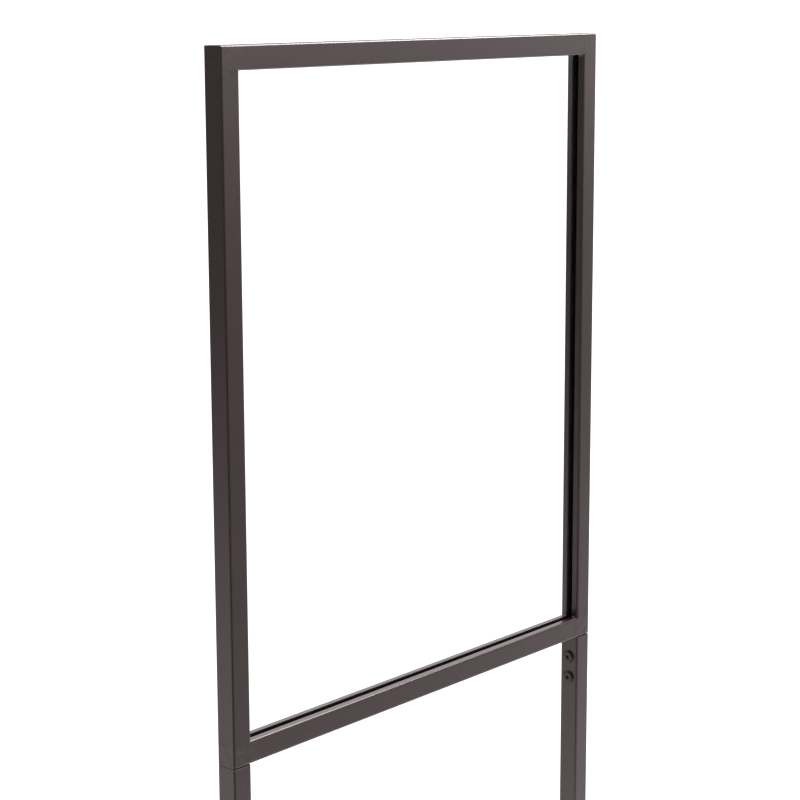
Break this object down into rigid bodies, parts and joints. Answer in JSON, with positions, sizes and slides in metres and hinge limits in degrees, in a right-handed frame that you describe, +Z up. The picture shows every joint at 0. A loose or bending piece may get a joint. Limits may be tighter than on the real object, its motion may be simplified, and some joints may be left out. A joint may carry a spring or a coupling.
{
  "type": "sneeze guard",
  "caption": "Floor-standing sneeze guard: clear panel in a slotted square-tube frame on two legs with crosswise levelling feet.",
  "frame": {"origin": "on the floor under the middle of the guard", "axes": "+X along the panel, +Y through it to the back, +Z up"},
  "size_m": [0.64, 0.45, 1.67],
  "materials": {
    "bronze_powder_coat": "satin dark bronze powder coat",
    "clear_acrylic": "clear cast sheet, polished",
    "black_edge_strip": "matt black extruded strip",
    "black_plastic": "moulded black",
    "zinc_plated_steel": "zinc plated",
    "bronze_bolt": "bronze-coloured furniture bolt"
  },
  "bodies": {
    "stand": {"left_post": "bronze_powder_coat", "right_post": "bronze_powder_coat", "top_rail": "bronze_powder_coat", "bottom_rail": "bronze_powder_coat", "left_frame_spigot": "bronze_powder_coat", "left_frame_nuts": "zinc_plated_steel", "left_frame_bolts": "bronze_bolt", "left_leg": "bronze_powder_coat", "left_foot_bolts": "bronze_bolt", "left_foot_nuts": "zinc_plated_steel", "left_foot_spigot": "bronze_powder_coat", "left_foot_tube": "bronze_powder_coat", "right_frame_spigot": "bronze_powder_coat", "right_frame_nuts": "zinc_plated_steel", "right_frame_bolts": "bronze_bolt", "right_leg": "bronze_powder_coat", "right_foot_bolts": "bronze_bolt", "right_foot_nuts": "zinc_plated_steel", "right_foot_spigot": "bronze_powder_coat", "right_foot_tube": "bronze_powder_coat", "left_front_end_cap": "black_plastic", "left_front_insert": "zinc_plated_steel", "left_rear_end_cap": "black_plastic", "left_rear_insert": "zinc_plated_steel", "right_front_end_cap": "black_plastic", "right_front_insert": "zinc_plated_steel", "right_rear_end_cap": "black_plastic", "right_rear_insert": "zinc_plated_steel"},
    "panel_sheet": {"panel": "clear_acrylic", "panel_left_seal": "black_edge_strip", "panel_right_seal": "black_edge_strip", "panel_top_seal": "black_edge_strip", "panel_bottom_seal": "black_edge_strip"},
    "left_front_pad": {"left_front_glide_pad": "black_plastic"},
    "left_front_stem": {"left_front_glide_stem": "zinc_plated_steel"},
    "left_rear_pad": {"left_rear_glide_pad": "black_plastic"},
    "left_rear_stem": {"left_rear_glide_stem": "zinc_plated_steel"},
    "right_front_pad": {"right_front_glide_pad": "black_plastic"},
    "right_front_stem": {"right_front_glide_stem": "zinc_plated_steel"},
    "right_rear_pad": {"right_rear_glide_pad": "black_plastic"},
    "right_rear_stem": {"right_rear_glide_stem": "zinc_plated_steel"}
  },
  "joints": [
    {"name": "panel_lift", "type": "slide", "parent": "stand", "child": "panel_sheet", "axis": [0, 0, 1], "range_m": [0, 0.76]},
    {"name": "left_front_glide_height", "type": "slide", "parent": "stand", "child": "left_front_pad", "axis": [0, 0, 1], "range_m": [0, 0.01]},
    {"name": "left_front_glide_turn", "type": "hinge", "parent": "left_front_pad", "child": "left_front_stem", "pos_m": [-0.3073, -0.19, 0], "axis": [0, 0, 1], "range_deg": [0, 2880]},
    {"name": "left_rear_glide_height", "type": "slide", "parent": "stand", "child": "left_rear_pad", "axis": [0, 0, 1], "range_m": [0, 0.01]},
    {"name": "left_rear_glide_turn", "type": "hinge", "parent": "left_rear_pad", "child": "left_rear_stem", "pos_m": [-0.3073, 0.19, 0], "axis": [0, 0, 1], "range_deg": [0, 2880]},
    {"name": "right_front_glide_height", "type": "slide", "parent": "stand", "child": "right_front_pad", "axis": [0, 0, 1], "range_m": [0, 0.01]},
    {"name": "right_front_glide_turn", "type": "hinge", "parent": "right_front_pad", "child": "right_front_stem", "pos_m": [0.3073, -0.19, 0], "axis": [0, 0, 1], "range_deg": [0, 2880]},
    {"name": "right_rear_glide_height", "type": "slide", "parent": "stand", "child": "right_rear_pad", "axis": [0, 0, 1], "range_m": [0, 0.01]},
    {"name": "right_rear_glide_turn", "type": "hinge", "parent": "right_rear_pad", "child": "right_rear_stem", "pos_m": [0.3073, 0.19, 0], "axis": [0, 0, 1], "range_deg": [0, 2880]}
  ],
  "couplings": [
    {"joint": "left_front_glide_turn", "follows": "left_front_glide_height", "rad_per_m": 5026.5},
    {"joint": "left_rear_glide_turn", "follows": "left_rear_glide_height", "rad_per_m": 5026.5},
    {"joint": "right_front_glide_turn", "follows": "right_front_glide_height", "rad_per_m": 5026.5},
    {"joint": "right_rear_glide_turn", "follows": "right_rear_glide_height", "rad_per_m": 5026.5}
  ]
}
